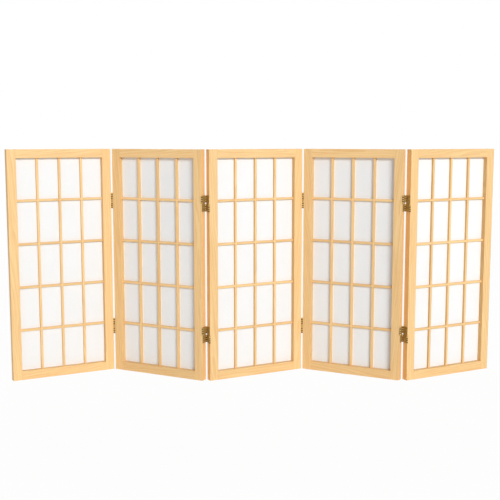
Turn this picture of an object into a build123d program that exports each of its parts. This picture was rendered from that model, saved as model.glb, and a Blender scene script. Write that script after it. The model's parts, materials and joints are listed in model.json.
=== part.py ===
from build123d import *
import os

# Folding shoji screen: five paper panels in spruce frames, joined edge to edge by pairs of
# two-way hinges and standing in a zigzag. The panels run from left to right along X, their
# fronts face -Y, they stand on Z = 0, and the middle of the third panel is the origin.

# Panels, in millimetres
panel_count = 5
panel_height = 610.0
panel_width = 279.0
panel_thickness = 18.0
fold_turn = 54.5

# Frame of a panel: two full-height stiles with two rails tenoned between them
stile_width = 24.0
top_rail_height = 25.0
bottom_rail_height = 23.5
tenon_length = 15.0
tenon_thickness = 6.0
tenon_shoulder = 4.5
joint_clearance = 0.1

# Lattice: slim bars, half-lapped where they cross and stub-tenoned into the frame
pane_columns = 4
pane_rows = 5
bar_width = 6.0
bar_depth = 6.5
lattice_recess = 7.0
bar_tenon_length = 4.0
end_pane_trim = 2.9
lap_depth_share = 0.5

# Paper: one sheet behind the lattice, held in a groove round the frame
paper_thickness = 0.4
paper_groove_depth = 5.0
paper_edge_clearance = 1.0

# Two-way hinges
panel_gap = 3.2
hinge_height = 42.5
upper_hinge_drop = 140.0
lower_hinge_rise = 123.0
hinge_waist = 3.0
leaf_thickness = 0.8
leaf_margin = 2.6
link_thickness = 0.8
axis_stand_off = 1.2
barrel_radius = 1.85
pin_radius = 0.85
pin_clearance = 0.1
knuckle_clearance = 0.2
knuckles_per_barrel = 2
open_barrel_room = 3.8

# Barrels and pins have flats instead of a true round, because so many of them repeat
barrel_sides = 10
pin_sides = 6

# Frame lines that follow from the sizes above, in a panel's own frame:
# X across it from its middle, Y from front to back, Z up
middle_index = panel_count // 2
half_width = panel_width / 2
front = -panel_thickness / 2
back = panel_thickness / 2
opening_half_width = half_width - stile_width
opening_bottom = bottom_rail_height
opening_top = panel_height - top_rail_height
opening_height = opening_top - opening_bottom
lattice_front = front + lattice_recess
lattice_back = lattice_front + bar_depth
paper_back = lattice_back + paper_thickness
lap_face = lattice_front + bar_depth * lap_depth_share

# Places of the hinges' axes and plates
half_gap = panel_gap / 2
axis_reach = half_width + half_gap
axis_offset = panel_thickness / 2 + axis_stand_off
leaf_half_width = panel_thickness / 2 - leaf_margin
bore_radius = pin_radius + pin_clearance
barrel_zone = (hinge_height - hinge_waist) / 2
knuckle_pitch = barrel_zone / knuckles_per_barrel
hinge_levels = (lower_hinge_rise, panel_height - upper_hinge_drop)


def block(x_limits, y_limits, z_limits):
    """A box between two limits on each axis."""
    limits = (x_limits, y_limits, z_limits)
    centre = [(low + high) / 2 for low, high in limits]
    return Pos(*centre) * Box(*[high - low for low, high in limits])


def grown(limits, room=joint_clearance):
    """Limits moved apart by a clearance at both ends."""
    low, high = limits
    return (low - room, high + room)


def around(centre, width):
    """Limits of a given width about a centre."""
    return (centre - width / 2, centre + width / 2)


def spread(middle, pitch, count):
    """Evenly spaced places about a middle."""
    return [middle + pitch * (place - (count - 1) / 2) for place in range(count)]


# Places of the bars
column_pitch = (2 * opening_half_width + bar_width) / pane_columns
row_pitch = (opening_height + 2 * end_pane_trim + bar_width) / pane_rows
bar_columns = spread(0, column_pitch, pane_columns - 1)
bar_rows = spread((opening_bottom + opening_top) / 2, row_pitch, pane_rows - 1)

# Limits that pieces share with the sockets that hold them
tenon_depths = around(0, tenon_thickness)
top_tenon_heights = (opening_top + tenon_shoulder, panel_height - tenon_shoulder)
bottom_tenon_heights = (tenon_shoulder, opening_bottom - tenon_shoulder)
lattice_depths = (lattice_front, lattice_back)
front_lap_depths = (lattice_front, lap_face)
back_lap_depths = (lap_face, lattice_back)
groove_depths = grown((lattice_back, paper_back))
groove_half_width = opening_half_width + paper_groove_depth
groove_heights = (opening_bottom - paper_groove_depth, opening_top + paper_groove_depth)


def make_right_stile():
    """Upright of the frame, mortised for the rails, socketed for the bars and grooved for the paper."""
    stile = block((opening_half_width, half_width), (front, back), (0, panel_height))
    mortise_reach = (opening_half_width, opening_half_width + tenon_length + joint_clearance)
    for heights in (top_tenon_heights, bottom_tenon_heights):
        stile -= block(mortise_reach, grown(tenon_depths), grown(heights))
    socket_reach = (opening_half_width, opening_half_width + bar_tenon_length + joint_clearance)
    for level in bar_rows:
        stile -= block(socket_reach, grown(lattice_depths), grown(around(level, bar_width)))
    stile -= block((opening_half_width, groove_half_width), groove_depths, groove_heights)
    return stile


def make_rail(heights, tenon_heights, opening_edge, inward):
    """Cross piece of the frame with a tenon at each end, socketed for the bars and grooved for the paper."""
    rail = block((-opening_half_width, opening_half_width), (front, back), heights)
    tenon_reach = opening_half_width + tenon_length
    rail += block((-tenon_reach, tenon_reach), tenon_depths, tenon_heights)
    socket_floor = opening_edge - inward * (bar_tenon_length + joint_clearance)
    socket_heights = sorted((opening_edge, socket_floor))
    for column in bar_columns:
        rail -= block(grown(around(column, bar_width)), grown(lattice_depths), socket_heights)
    groove_floor = opening_edge - inward * paper_groove_depth
    rail -= block((-groove_half_width, groove_half_width), groove_depths, sorted((opening_edge, groove_floor)))
    return rail


def make_vertical_bar(column):
    """Upright lattice bar, notched from behind where the level bars cross it."""
    bar_heights = grown((opening_bottom, opening_top), bar_tenon_length)
    bar = block(around(column, bar_width), lattice_depths, bar_heights)
    for level in bar_rows:
        notch_heights = grown(around(level, bar_width))
        bar -= block(around(column, bar_width), grown(back_lap_depths), notch_heights)
    return bar


def make_level_bar(level):
    """Level lattice bar, notched from the front where the upright bars cross it."""
    bar_reach = grown((-opening_half_width, opening_half_width), bar_tenon_length)
    bar = block(bar_reach, lattice_depths, around(level, bar_width))
    for column in bar_columns:
        notch_reach = grown(around(column, bar_width))
        bar -= block(notch_reach, grown(front_lap_depths), around(level, bar_width))
    return bar


def make_paper():
    """Sheet of shoji paper, its edges in the frame's groove and its face against the lattice."""
    sheet_half_width = groove_half_width - paper_edge_clearance
    sheet_heights = grown(groove_heights, -paper_edge_clearance)
    return block((-sheet_half_width, sheet_half_width), (lattice_back, paper_back), sheet_heights)


def make_prism(section, heights):
    """A section drawn out along Z between two heights."""
    low, high = heights
    return Pos(0, 0, low) * extrude(section, high - low)


def make_bore(heights):
    """Hole for a hinge pin on the Z axis."""
    return make_prism(RegularPolygon(bore_radius, pin_sides, major_radius=False), heights)


def make_knuckle(heights):
    """Barrel section of a hinge on the Z axis, bored for its pin."""
    return make_prism(RegularPolygon(barrel_radius, barrel_sides), heights) - make_bore(heights)


def make_pin(heights):
    """Hinge pin on the Z axis."""
    return make_prism(RegularPolygon(pin_radius, pin_sides), heights)


def zone_heights(half):
    """Limits of a hinge's upper (half = 1) or lower (half = -1) barrels about the hinge's middle."""
    return tuple(sorted((half * hinge_waist / 2, half * hinge_height / 2)))


def knuckle_heights(half, of_link):
    """Limits of a link's or a leaf's knuckles: they alternate, with a leaf's at the hinge's outer end."""
    outer_end = half * hinge_height / 2
    knuckles = []
    for step in range(1 if of_link else 0, knuckles_per_barrel, 2):
        cell = (outer_end - half * step * knuckle_pitch, outer_end - half * (step + 1) * knuckle_pitch)
        knuckles.append(grown(sorted(cell), -knuckle_clearance / 2))
    return knuckles


def make_leaf():
    """Hinge leaf for a panel's right edge, from the edge outwards: upper knuckles in front, lower behind."""
    leaf = block((0, leaf_thickness), (-leaf_half_width, leaf_half_width), around(0, hinge_height))
    for half in (1, -1):
        axis_y = -half * axis_offset
        tongue_depths = sorted((axis_y, -half * leaf_half_width))
        for heights in knuckle_heights(half, of_link=False):
            leaf += block((0, leaf_thickness), tongue_depths, heights)
            leaf += Pos(half_gap, axis_y, 0) * make_knuckle(heights)
            leaf -= Pos(half_gap, axis_y, 0) * make_bore(heights)
    return leaf


def make_link(half, open_side):
    """Plate in the middle of the gap between two panels, with a knuckle on both of a hinge's axes.

    A link whose open_side is -1 or 1 stops short of that axis, and has no knuckle there.
    """
    web = around(0, link_thickness)
    open_reach = axis_offset - barrel_radius - open_barrel_room
    reach = {side: open_reach if side == open_side else leaf_half_width for side in (-1, 1)}
    link = block(web, (-reach[-1], reach[1]), zone_heights(half))
    tongue_reach = axis_offset - (barrel_radius + bore_radius) / 2
    for side in (-1, 1):
        if side == open_side:
            continue
        for heights in knuckle_heights(half, of_link=True):
            link += block(web, sorted((0, side * tongue_reach)), heights)
            link += Pos(0, side * axis_offset, 0) * make_knuckle(heights)
    return link


def make_link_end(half):
    """Outer barrel end of a link on the Z axis, with the pin that is peened into it."""
    end = make_pin(zone_heights(half))
    for heights in knuckle_heights(half, of_link=True):
        end += make_prism(RegularPolygon(barrel_radius, barrel_sides), heights)
    return end


# A fold closes about its front axis (a valley) or its back axis (a crest), by turns from the left
fold_names = ("fold_12", "fold_23", "fold_34", "fold_45")
fold_is_valley = (True, False, True, False)


def place_panels():
    """Places of the panels, walking from hinge axis to hinge axis, with the middle panel at the origin."""
    places = [Location()]
    for valley in fold_is_valley:
        axis_y = -axis_offset if valley else axis_offset
        turn = -fold_turn if valley else fold_turn
        step = Pos(axis_reach, axis_y, 0) * Rot(0, 0, turn) * Pos(axis_reach, -axis_y, 0)
        places.append(places[-1] * step)
    to_middle = Rot(0, 0, fold_turn / 2) * places[middle_index].inverse()
    return [to_middle * place for place in places]


panel_places = place_panels()


def save(name, solids):
    """Writes one node, made of one or more separate solids."""
    shape = solids[0] if len(solids) == 1 else Compound(children=list(solids))
    shape.label = name
    export_step(shape, os.path.join("parts", f"{name}.step"))


def save_panel(number, place):
    """Writes the frame, lattice, paper and hinge leaves of one panel."""
    right_stile = make_right_stile()
    pieces = {
        "left_stile": [mirror(right_stile, about=Plane.YZ)],
        "right_stile": [right_stile],
        "top_rail": [make_rail((opening_top, panel_height), top_tenon_heights, opening_top, -1)],
        "bottom_rail": [make_rail((0, opening_bottom), bottom_tenon_heights, opening_bottom, 1)],
        "vertical_bars": [make_vertical_bar(column) for column in bar_columns],
        "horizontal_bars": [make_level_bar(level) for level in bar_rows],
        "paper": [make_paper()],
        "hinge_leaves": make_panel_leaves(number),
    }
    for piece, solids in pieces.items():
        save(f"panel_{number}_{piece}", [place * solid for solid in solids])


def make_panel_leaves(number):
    """Leaves on the edges of a panel that meet a neighbour, one at each hinge level."""
    leaf = make_leaf()
    leaves = []
    for level in hinge_levels:
        if number < panel_count:
            leaves.append(Pos(half_width, 0, level) * leaf)
        if number > 1:
            leaves.append(Pos(-half_width, 0, level) * Rot(0, 0, 180) * leaf)
    return leaves


def link_place(fold, half, level):
    """Place of a link: it lies along the edge of the panel that it stays with as the fold turns."""
    stays_left = fold_is_valley[fold] != (half > 0)
    if stays_left:
        return panel_places[fold] * Pos(axis_reach, 0, level)
    return panel_places[fold + 1] * Pos(-axis_reach, 0, level)


def stays_with_inner_panel(fold, half):
    """Whether a link stays with the panel nearer to the middle of the screen as the fold closes."""
    stays_left = fold_is_valley[fold] != (half > 0)
    inner_is_left = fold >= middle_index
    return stays_left == inner_is_left


def save_fold(fold):
    """Writes the links of one fold and their pins, and the outer barrel ends of the links that stay."""
    name = fold_names[fold]
    closing_side = -1 if fold_is_valley[fold] else 1
    for half, half_name in ((1, "upper"), (-1, "lower")):
        places = [link_place(fold, half, level) for level in hinge_levels]
        stays = stays_with_inner_panel(fold, half)
        link = make_link(half, closing_side if stays else 0)
        save(f"{name}_{half_name}_links", [place * link for place in places])
        pin = make_pin(zone_heights(half))
        if stays:
            kept_pin = Pos(0, -closing_side * axis_offset, 0) * pin
            save(f"{name}_reverse_link_pins", [place * kept_pin for place in places])
            link_end = Pos(0, closing_side * axis_offset, 0) * make_link_end(half)
            save(f"{name}_{half_name}_link_ends", [place * link_end for place in places])
        else:
            pins = [Pos(0, side * axis_offset, 0) * pin for side in (-1, 1)]
            save(f"{name}_link_pins", [place * pin for place in places for pin in pins])


os.makedirs("parts", exist_ok=True)
for index, panel_place in enumerate(panel_places):
    save_panel(index + 1, panel_place)
for fold_index in range(len(fold_names)):
    save_fold(fold_index)
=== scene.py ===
"""Folding shoji screen: five paper panels in spruce frames on brass two-way hinges.

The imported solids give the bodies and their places. This script gives every piece its dressed
mesh and its finish, and stands the screen in a plain white studio. Lengths are in metres.
"""

from __future__ import annotations

import json
import logging
import math
import random
from dataclasses import dataclass
from enum import Enum
from typing import Any

import bmesh
import bpy
from mathutils import Matrix, Vector

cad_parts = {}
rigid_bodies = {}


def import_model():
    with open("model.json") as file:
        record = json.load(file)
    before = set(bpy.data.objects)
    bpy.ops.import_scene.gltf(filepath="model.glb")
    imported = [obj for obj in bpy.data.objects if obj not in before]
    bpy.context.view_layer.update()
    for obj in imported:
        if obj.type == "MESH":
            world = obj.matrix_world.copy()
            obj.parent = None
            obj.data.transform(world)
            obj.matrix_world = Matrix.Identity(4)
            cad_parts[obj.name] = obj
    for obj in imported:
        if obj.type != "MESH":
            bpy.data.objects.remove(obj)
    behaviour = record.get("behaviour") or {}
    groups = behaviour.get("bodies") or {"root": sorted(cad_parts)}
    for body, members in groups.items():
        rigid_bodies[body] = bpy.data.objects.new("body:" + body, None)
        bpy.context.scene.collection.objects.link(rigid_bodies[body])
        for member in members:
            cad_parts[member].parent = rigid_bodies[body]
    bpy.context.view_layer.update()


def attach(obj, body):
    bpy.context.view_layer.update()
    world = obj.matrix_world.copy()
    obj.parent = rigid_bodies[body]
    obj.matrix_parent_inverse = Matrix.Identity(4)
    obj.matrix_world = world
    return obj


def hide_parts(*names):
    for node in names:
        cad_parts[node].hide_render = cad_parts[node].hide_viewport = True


LOG = logging.getLogger("folding_screen")
MM = 0.001
BOARD_SEED = 202027
GRAIN = "grain"
BOARD = "board"
CUT = "cut"
SHADE = "shade"
TURN = "turn"
RUN = "run"
ROUND_PROFILE = 0.5
MERGE_DISTANCE = 1e-7
FIRST_COLOUR, SECOND_COLOUR, MIXED_COLOUR = 6, 7, 2

Mesh = bpy.types.Mesh
Material = bpy.types.Material
Object = bpy.types.Object
Tree = bpy.types.NodeTree
Node = bpy.types.Node
Socket = bpy.types.NodeSocket
Limits = tuple[float, float]
Box = tuple[Limits, Limits, Limits]
Triple = tuple[float, float, float]
Colour = tuple[float, float, float, float]


class Slot(Enum):
    """Material slots of the record."""

    SPRUCE = "spruce"
    PAPER = "shoji_paper"
    BRASS = "antique_brass"


PIECE_WORDS = {Slot.SPRUCE: "spruce", Slot.PAPER: "washi", Slot.BRASS: "brass"}


class Way(Enum):
    """Way that the grain of a piece runs, in its panel's own frame."""

    UPRIGHT = "upright"
    LEVEL = "level"


class Half(Enum):
    """Upper or lower half of a frame or a hinge, as a sign along Z."""

    UPPER = 1
    LOWER = -1


class Side(Enum):
    """Left or right side of a panel, as a sign along its X."""

    LEFT = -1
    RIGHT = 1


class Face(Enum):
    """Front or back of a panel, as a sign along its Y."""

    FRONT = -1
    BACK = 1


class Work(Enum):
    """What a tool does to a piece."""

    CUT = "DIFFERENCE"
    JOIN = "UNION"


def around(centre: float, width: float) -> Limits:
    """Limits of a given width about a centre."""
    return (centre - width / 2, centre + width / 2)


def grown(limits: Limits, room: float) -> Limits:
    """Limits moved apart by a clearance at both ends."""
    return (limits[0] - room, limits[1] + room)


def ordered(first: float, second: float) -> Limits:
    """Two places as limits, the lower first."""
    return (min(first, second), max(first, second))


def spread(middle: float, pitch: float, count: int) -> list[float]:
    """Evenly spaced places about a middle."""
    return [middle + pitch * (place - (count - 1) / 2) for place in range(count)]


def finished(shape: bmesh.types.BMesh, name: str) -> Mesh:
    """Turns a worked shape into a mesh.

    Args:
        shape: The shape, which is freed.
        name: Name of the mesh.

    Returns:
        The mesh.
    """
    mesh = bpy.data.meshes.new(name)
    shape.to_mesh(mesh)
    shape.free()
    return mesh


def eased_box(limits: Box, ease: float = 0.0, segments: int = 2) -> Mesh:
    """Makes a box whose edges are rounded over.

    Args:
        limits: Lowest and highest place on each axis.
        ease: Radius of the rounded edges, or zero for sharp ones.
        segments: Faces across each rounded edge.

    Returns:
        The closed mesh.
    """
    shape = bmesh.new()
    bmesh.ops.create_cube(shape, size=1.0)
    size = Vector([high - low for low, high in limits])
    centre = Vector([(low + high) / 2 for low, high in limits])
    for vertex in shape.verts:
        vertex.co = centre + Vector([a * b for a, b in zip(vertex.co, size)])
    if ease > 0:
        bmesh.ops.bevel(
            shape, geom=list(shape.edges), offset=ease, offset_type="OFFSET",
            segments=segments, profile=ROUND_PROFILE, affect="EDGES", clamp_overlap=True,
        )
    return finished(shape, "box")


def held_object(name: str, mesh: Mesh) -> Object:
    """Puts a mesh into the scene.

    Args:
        name: Name of the object.
        mesh: Its mesh.

    Returns:
        The object.
    """
    obj = bpy.data.objects.new(name, mesh)
    bpy.context.scene.collection.objects.link(obj)
    return obj


def evaluated_mesh(obj: Object) -> Mesh:
    """Applies an object's modifiers.

    Args:
        obj: The object.

    Returns:
        A plain mesh.
    """
    graph = bpy.context.evaluated_depsgraph_get()
    graph.update()
    return bpy.data.meshes.new_from_object(
        obj.evaluated_get(graph), preserve_all_data_layers=True, depsgraph=graph
    )


def combine(mesh: Mesh, tool_limits: Box, work: Work) -> Mesh:
    """Cuts a box out of a mesh, or joins one to it.

    Args:
        mesh: The piece that is worked.
        tool_limits: The box that cuts or is joined.
        work: Which of the two.

    Returns:
        The worked mesh.
    """
    piece = held_object("worked_piece", mesh)
    tool = held_object("working_tool", eased_box(tool_limits))
    modifier = piece.modifiers.new("work", "BOOLEAN")
    modifier.operation = work.value
    modifier.solver = "EXACT"
    modifier.object = tool
    result = evaluated_mesh(piece)
    bpy.data.objects.remove(piece)
    bpy.data.objects.remove(tool)
    return result


def joined(meshes: list[Mesh]) -> Mesh:
    """Gathers meshes into one.

    Args:
        meshes: The meshes, already in place.

    Returns:
        One mesh of them all.
    """
    shape = bmesh.new()
    for mesh in meshes:
        shape.from_mesh(mesh)
    return finished(shape, "joined")


def placed(mesh: Mesh, place: Matrix) -> Mesh:
    """Moves a copy of a mesh.

    Args:
        mesh: The mesh, which stays as it is.
        place: Where the copy goes.

    Returns:
        The copy.
    """
    copy = mesh.copy()
    copy.transform(place)
    return copy


def set_point_floats(mesh: Mesh, name: str, values: list[float]) -> None:
    """Stores one number for each point of a mesh."""
    attribute = mesh.attributes.new(name, "FLOAT", "POINT")
    attribute.data.foreach_set("value", values)


def set_point_vectors(mesh: Mesh, name: str, values: list[Vector]) -> None:
    """Stores one vector for each point of a mesh."""
    attribute = mesh.attributes.new(name, "FLOAT_VECTOR", "POINT")
    attribute.data.foreach_set("vector", [part for value in values for part in value])


def shaded(mesh: Mesh, shade: float) -> Mesh:
    """Marks how much painted shade a whole fitting gets, and gives the fitting."""
    set_point_floats(mesh, SHADE, [shade] * len(mesh.vertices))
    return mesh


def mark_grain(mesh: Mesh, way: Way, board: float | None) -> None:
    """Stores where each point lies in its board.

    Args:
        mesh: The piece, in its panel's own frame.
        way: Way that the grain runs.
        board: Number of the board between 0 and 1, or None where a row of pieces gets its own.
    """
    across = Vector((1, 0, 0)) if way is Way.UPRIGHT else Vector((0, 0, 1))
    cut = mesh.attributes.new(CUT, "FLOAT", "FACE")
    cut.data.foreach_set("value", [min(1.0, abs(face.normal.dot(across))) for face in mesh.polygons])
    points = [vertex.co for vertex in mesh.vertices]
    middle = [(min(p[axis] for p in points) + max(p[axis] for p in points)) / 2 for axis in range(3)]
    vectors = []
    for point in points:
        x, y, z = (point[axis] - middle[axis] for axis in range(3))
        vectors.append(Vector((z, x, y)) if way is Way.UPRIGHT else Vector((x, z, y)))
    set_point_vectors(mesh, GRAIN, vectors)
    if board is not None:
        set_point_floats(mesh, BOARD, [board] * len(points))


def add_node(tree: Tree, kind: str, inputs: dict[Any, Any] | None = None, **settings: Any) -> Node:
    """Adds a node to a tree.

    Args:
        tree: The tree that gets the node.
        kind: Blender's name for the node.
        inputs: Socket name or number, with a value or the output socket that feeds it.
        **settings: Properties of the node.

    Returns:
        The new node.
    """
    node = tree.nodes.new(kind)
    for name, value in settings.items():
        setattr(node, name, value)
    for key, value in (inputs or {}).items():
        socket = node.inputs[key]
        if isinstance(value, Socket):
            tree.links.new(value, socket)
        else:
            socket.default_value = value
    return node


def output(
    tree: Tree, kind: str, inputs: dict[Any, Any] | None = None, which: Any = 0, **settings: Any
) -> Socket:
    """Adds a node to a tree and gives one of its outputs, by name or number."""
    return add_node(tree, kind, inputs, **settings).outputs[which]


def maths(tree: Tree, operation: str, *values: Any) -> Socket:
    """Adds a Math node and gives its output."""
    return output(tree, "ShaderNodeMath", dict(enumerate(values)), operation=operation)


def mapped(tree: Tree, share: Socket, first: float, last: float) -> Socket:
    """Turns a share from 0 to 1 into a number between two others."""
    return output(tree, "ShaderNodeMapRange", {"Value": share, "To Min": first, "To Max": last})


def mixed_colour(tree: Tree, factor: Socket, first: Any, second: Any, blend: str = "MIX") -> Socket:
    """Mixes two colours and gives the output."""
    inputs = {"Factor": factor, FIRST_COLOUR: first, SECOND_COLOUR: second}
    return output(tree, "ShaderNodeMix", inputs, MIXED_COLOUR, data_type="RGBA", blend_type=blend)


def bumped(tree: Tree, height: Socket, strength: float, distance: float) -> Socket:
    """Adds a Bump node and gives its normal."""
    return output(tree, "ShaderNodeBump", {"Strength": strength, "Distance": distance, "Height": height})


def open_interface(tree: Tree, sockets: dict[str, str]) -> dict[str, str]:
    """Gives a geometry tree its inputs and output.

    Args:
        tree: The new tree.
        sockets: Name and kind of each input after the geometry.

    Returns:
        Identifier of each named input.
    """
    face = tree.interface
    face.new_socket("Geometry", in_out="INPUT", socket_type="NodeSocketGeometry")
    ids = {}
    for name, kind in sockets.items():
        ids[name] = face.new_socket(name, in_out="INPUT", socket_type=kind).identifier
    face.new_socket("Geometry", in_out="OUTPUT", socket_type="NodeSocketGeometry")
    return ids


def close_tree(tree: Tree, geometry: Socket, finish: Socket) -> None:
    """Ends a geometry tree with real meshes in their finish.

    Args:
        tree: The tree.
        geometry: What it has made.
        finish: Its input for the material.
    """
    real = output(tree, "GeometryNodeRealizeInstances", {"Geometry": geometry})
    dressed = output(tree, "GeometryNodeSetMaterial", {"Geometry": real, "Material": finish})
    add_node(tree, "NodeGroupOutput", {0: dressed})


def run_tree(tree: Tree, ids: dict[str, str], mesh: Mesh, values: dict[str, Any]) -> Mesh:
    """Runs a geometry tree on a mesh.

    Args:
        tree: The tree.
        ids: Identifier of each named input.
        mesh: What the tree starts from.
        values: Value of each named input.

    Returns:
        The plain result.
    """
    carrier = held_object("tree_carrier", mesh)
    modifier = carrier.modifiers.new("row", "NODES")
    modifier.node_group = tree
    for name, value in values.items():
        modifier[ids[name]] = value
    result = evaluated_mesh(carrier)
    carrier.modifiers.remove(modifier)
    bpy.data.objects.remove(carrier)
    return result


class RowTree:
    """Geometry node tree that repeats a lattice bar along a line."""

    SOCKETS = {
        "Count": "NodeSocketInt",
        "First": "NodeSocketVector",
        "Step": "NodeSocketVector",
        "Seed": "NodeSocketInt",
        "Finish": "NodeSocketMaterial",
    }

    def __init__(self) -> None:
        """Builds the tree."""
        tree = self.tree = bpy.data.node_groups.new("bar_row", "GeometryNodeTree")
        self.ids = open_interface(tree, self.SOCKETS)
        start = add_node(tree, "NodeGroupInput").outputs
        line = output(
            tree, "GeometryNodeMeshLine",
            {"Count": start["Count"], "Start Location": start["First"], "Offset": start["Step"]},
            mode="OFFSET",
        )
        row = output(tree, "GeometryNodeInstanceOnPoints", {"Points": line, "Instance": start["Geometry"]})
        board = output(tree, "FunctionNodeRandomValue", {"Seed": start["Seed"]}, 1, data_type="FLOAT")
        marked = output(
            tree, "GeometryNodeStoreNamedAttribute", {"Geometry": row, "Name": BOARD, "Value": board},
            data_type="FLOAT", domain="INSTANCE",
        )
        close_tree(tree, marked, start["Finish"])

    def build(self, bar: Mesh, count: int, first: Vector, step: Vector, seed: int, finish: Material) -> Mesh:
        """Repeats a bar.

        Args:
            bar: The bar, about the origin.
            count: Number of bars.
            first: Place of the first bar.
            step: Way from one bar to the next.
            seed: Picks the boards that the bars are cut from.
            finish: Material of the bars.

        Returns:
            One plain mesh of all the bars.
        """
        values = {"Count": count, "First": first, "Step": step, "Seed": seed, "Finish": finish}
        return run_tree(self.tree, self.ids, bar, values)


@dataclass(frozen=True)
class Mark:
    """Start of a row of fittings: its place, its Euler turn, and which way along Z the row runs."""

    place: Vector
    turn: Vector
    run: float = 1.0


@dataclass(frozen=True)
class FittingRow:
    """How a row of fittings runs from its mark."""

    count: int = 1
    first: float = 0.0
    pitch: float = 0.0
    spin: float = 0.0
    seed: int = 0


class FittingTree:
    """Geometry node tree that sets fittings, such as knuckles, pins and screws, on marked points."""

    SOCKETS = {
        "Fitting": "NodeSocketObject",
        "Count": "NodeSocketInt",
        "First": "NodeSocketFloat",
        "Pitch": "NodeSocketFloat",
        "Spin": "NodeSocketFloat",
        "Seed": "NodeSocketInt",
        "Finish": "NodeSocketMaterial",
    }
    SPIN_LIMIT = 3

    def __init__(self) -> None:
        """Builds the tree."""
        tree = self.tree = bpy.data.node_groups.new("fitting_row", "GeometryNodeTree")
        self.ids = open_interface(tree, self.SOCKETS)
        start = add_node(tree, "NodeGroupInput").outputs
        copies = add_node(
            tree, "GeometryNodeDuplicateElements", {"Geometry": start["Geometry"], "Amount": start["Count"]},
            domain="POINT",
        ).outputs
        run = output(tree, "GeometryNodeInputNamedAttribute", {"Name": RUN}, data_type="FLOAT")
        steps = maths(tree, "MULTIPLY", copies["Duplicate Index"], start["Pitch"])
        height = maths(tree, "MULTIPLY", maths(tree, "ADD", steps, start["First"]), run)
        offset = output(tree, "ShaderNodeCombineXYZ", {"Z": height})
        moved = output(tree, "GeometryNodeSetPosition", {"Geometry": copies[0], "Offset": offset})
        turn = output(tree, "GeometryNodeInputNamedAttribute", {"Name": TURN}, data_type="FLOAT_VECTOR")
        limits = {self.SPIN_LIMIT: start["Spin"], "Seed": start["Seed"]}
        spin = output(tree, "FunctionNodeRandomValue", limits, 1, data_type="FLOAT")
        own_turn = output(tree, "ShaderNodeCombineXYZ", {"X": spin})
        whole = output(tree, "ShaderNodeVectorMath", {0: turn, 1: own_turn}, operation="ADD")
        rotation = output(tree, "FunctionNodeEulerToRotation", {0: whole})
        fitting = output(tree, "GeometryNodeObjectInfo", {"Object": start["Fitting"]}, "Geometry")
        row = output(
            tree, "GeometryNodeInstanceOnPoints", {"Points": moved, "Instance": fitting, "Rotation": rotation}
        )
        close_tree(tree, row, start["Finish"])

    def build(self, marks: list[Mark], fitting: Mesh, row: FittingRow, finish: Material) -> Mesh:
        """Sets fittings on marks.

        Args:
            marks: Where the rows of fittings start, and how they turn.
            fitting: One fitting, about the origin.
            row: How a row runs from its mark.
            finish: Material of the fittings.

        Returns:
            One plain mesh of all the fittings.
        """
        points = bpy.data.meshes.new("marks")
        points.from_pydata([mark.place for mark in marks], [], [])
        set_point_vectors(points, TURN, [mark.turn for mark in marks])
        set_point_floats(points, RUN, [mark.run for mark in marks])
        pattern = held_object("fitting_pattern", fitting)
        values = {
            "Fitting": pattern, "Count": row.count, "First": row.first, "Pitch": row.pitch,
            "Spin": row.spin, "Seed": row.seed, "Finish": finish,
        }
        mesh = run_tree(self.tree, self.ids, points, values)
        bpy.data.objects.remove(pattern)
        return mesh


def new_group(name: str, numbers: tuple[str, ...]) -> tuple[Tree, Any]:
    """Starts a shader group that takes a vector and some numbers, and gives one value.

    Args:
        name: Name of the group.
        numbers: Names of the numbers that it takes.

    Returns:
        The group's tree, and the sockets that bring what it takes.
    """
    tree = bpy.data.node_groups.new(name, "ShaderNodeTree")
    tree.interface.new_socket("Vector", in_out="INPUT", socket_type="NodeSocketVector")
    for number in numbers:
        tree.interface.new_socket(number, in_out="INPUT", socket_type="NodeSocketFloat")
    tree.interface.new_socket("Value", in_out="OUTPUT", socket_type="NodeSocketFloat")
    return tree, add_node(tree, "NodeGroupInput").outputs


@dataclass(frozen=True)
class MottleGroup:
    """Shader group: soft, uneven patches between two levels."""

    noise_low: float = 0.3
    noise_high: float = 0.7
    noise_roughness: float = 0.55

    def build(self) -> Tree:
        """Builds the group.

        Returns:
            Its tree.
        """
        tree, start = new_group("mottle", ("Scale", "Detail", "Low", "High"))
        inputs = {name: start[name] for name in ("Vector", "Scale", "Detail")}
        noise = output(tree, "ShaderNodeTexNoise", {**inputs, "Roughness": self.noise_roughness})
        level = output(
            tree, "ShaderNodeMapRange",
            {
                "Value": noise, "From Min": self.noise_low, "From Max": self.noise_high,
                "To Min": start["Low"], "To Max": start["High"],
            },
        )
        add_node(tree, "NodeGroupOutput", {0: level})
        return tree


@dataclass(frozen=True)
class StreakGroup:
    """Shader group: fine streaks drawn out along the X of its vector."""

    noise_detail: float = 4.0
    noise_roughness: float = 0.6

    def build(self) -> Tree:
        """Builds the group.

        Returns:
            Its tree.
        """
        tree, start = new_group("streaks", ("Along", "Across", "Contrast"))
        scale = output(
            tree, "ShaderNodeCombineXYZ", {"X": start["Along"], "Y": start["Across"], "Z": start["Across"]}
        )
        drawn = output(tree, "ShaderNodeVectorMath", {0: start["Vector"], 1: scale}, operation="MULTIPLY")
        noise = output(
            tree, "ShaderNodeTexNoise",
            {"Vector": drawn, "Scale": 1.0, "Detail": self.noise_detail, "Roughness": self.noise_roughness},
        )
        centred = maths(tree, "SUBTRACT", noise, 0.5)
        strong = maths(tree, "MULTIPLY_ADD", centred, start["Contrast"], 0.5)
        add_node(tree, "NodeGroupOutput", {0: output(tree, "ShaderNodeClamp", {"Value": strong})})
        return tree


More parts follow.
